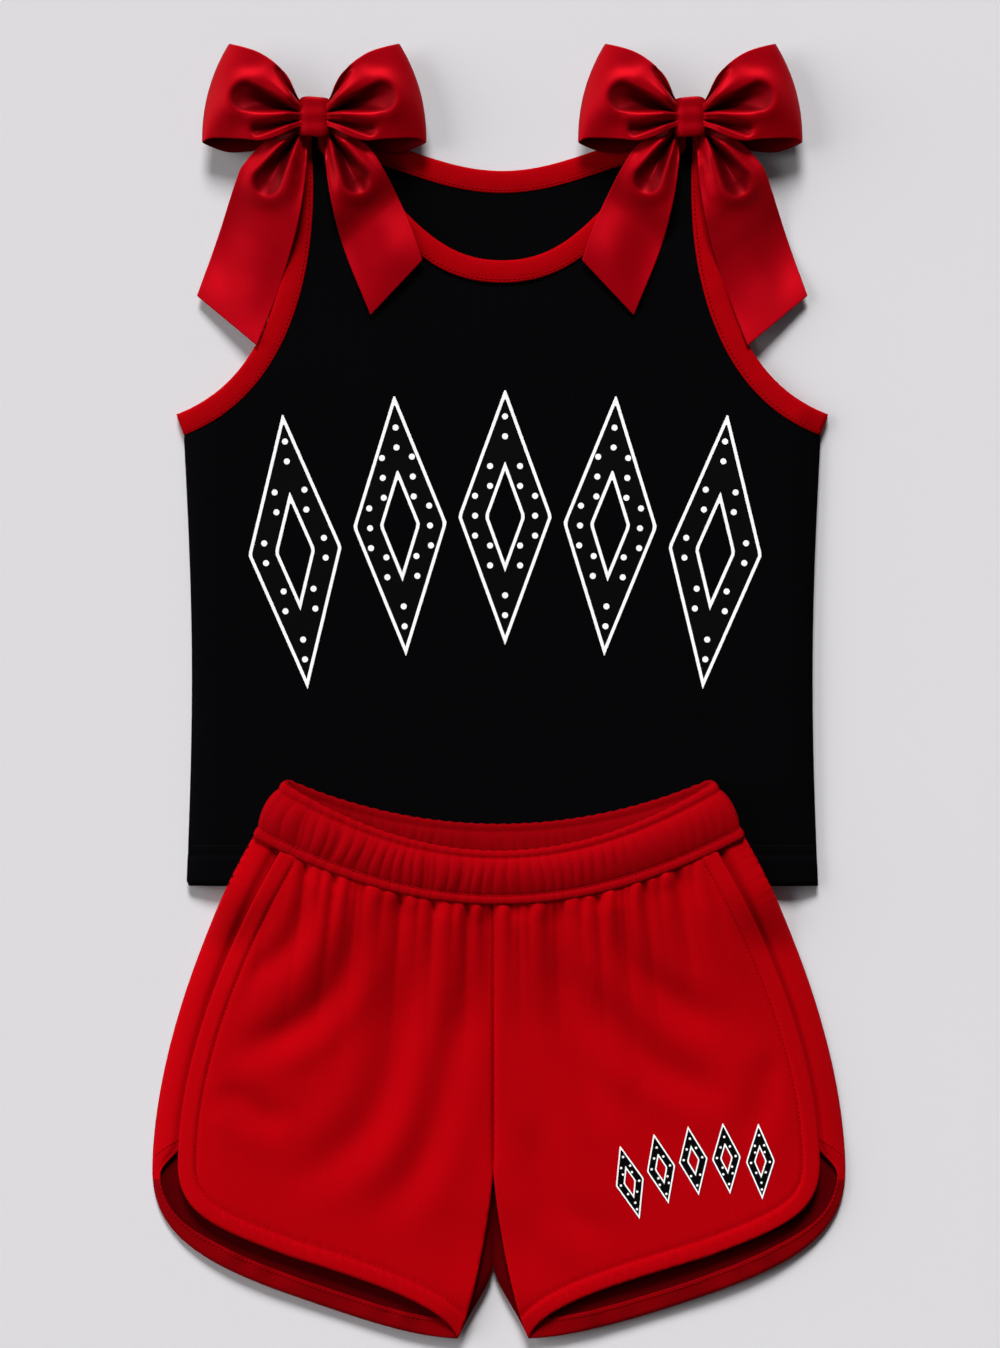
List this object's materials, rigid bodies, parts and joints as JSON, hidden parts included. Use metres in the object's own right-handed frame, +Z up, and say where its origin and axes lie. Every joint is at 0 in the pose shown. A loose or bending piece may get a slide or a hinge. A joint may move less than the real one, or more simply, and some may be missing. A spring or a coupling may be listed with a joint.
{
  "type": "cheer uniform",
  "caption": "Sleeveless knit top with ribbon bows on its straps and dotted diamonds across the chest, laid flat with matching gathered shorts over its hem.",
  "frame": {"origin": "on the table under the middle of the whole set as it lies", "axes": "+Y from the shorts' hem to the bows, +X to the right as the set is seen from above, +Z up out of the table"},
  "size_m": [0.37, 0.6896, 0.0205],
  "materials": {
    "black_jersey": "matte",
    "red_binding": "matte",
    "red_jersey": "matte",
    "red_satin": "satin",
    "dotted_film": "satin",
    "white_elastic": "matte"
  },
  "bodies": {
    "top": {"top_back_panel": "black_jersey", "top_front_panel": "black_jersey", "neck_binding": "red_binding", "left_armhole_binding": "red_binding", "right_armhole_binding": "red_binding", "chest_diamond_1": "dotted_film", "chest_diamond_2": "dotted_film", "chest_diamond_3": "dotted_film", "chest_diamond_4": "dotted_film", "chest_diamond_5": "dotted_film", "left_bow_knot": "red_satin", "left_bow_outer_loop": "red_satin", "left_bow_inner_loop": "red_satin", "right_bow_knot": "red_satin", "right_bow_outer_loop": "red_satin", "right_bow_inner_loop": "red_satin"},
    "shorts": {"waistband_casing": "red_jersey", "waist_elastic": "white_elastic", "shorts_front_left": "red_jersey", "shorts_front_right": "red_jersey", "shorts_back_left": "red_jersey", "shorts_back_right": "red_jersey", "leg_diamond_1": "dotted_film", "leg_diamond_2": "dotted_film", "leg_diamond_3": "dotted_film", "leg_diamond_4": "dotted_film", "leg_diamond_5": "dotted_film"},
    "left_outer_tail": {"left_bow_outer_tail": "red_satin"},
    "left_inner_tail": {"left_bow_inner_tail": "red_satin"},
    "right_outer_tail": {"right_bow_outer_tail": "red_satin"},
    "right_inner_tail": {"right_bow_inner_tail": "red_satin"}
  },
  "joints": [
    {"name": "shorts_lift", "type": "slide", "parent": "top", "child": "shorts", "axis": [0, 0, 1], "range_m": [0, 0.12]},
    {"name": "left_outer_tail_lift", "type": "hinge", "parent": "top", "child": "left_outer_tail", "pos_m": [-0.10495, 0.29326, 0.0112], "axis": [-0.9195, 0.393, 0], "range_deg": [0, 60]},
    {"name": "left_inner_tail_lift", "type": "hinge", "parent": "top", "child": "left_inner_tail", "pos_m": [-0.09065, 0.29356, 0.0112], "axis": [-0.9074, -0.4203, 0], "range_deg": [0, 60]},
    {"name": "right_outer_tail_lift", "type": "hinge", "parent": "top", "child": "right_outer_tail", "pos_m": [0.10855, 0.29326, 0.0112], "axis": [-0.9195, -0.393, 0], "range_deg": [0, 60]},
    {"name": "right_inner_tail_lift", "type": "hinge", "parent": "top", "child": "right_inner_tail", "pos_m": [0.09425, 0.29356, 0.0112], "axis": [-0.9074, 0.4203, 0], "range_deg": [0, 60]}
  ]
}
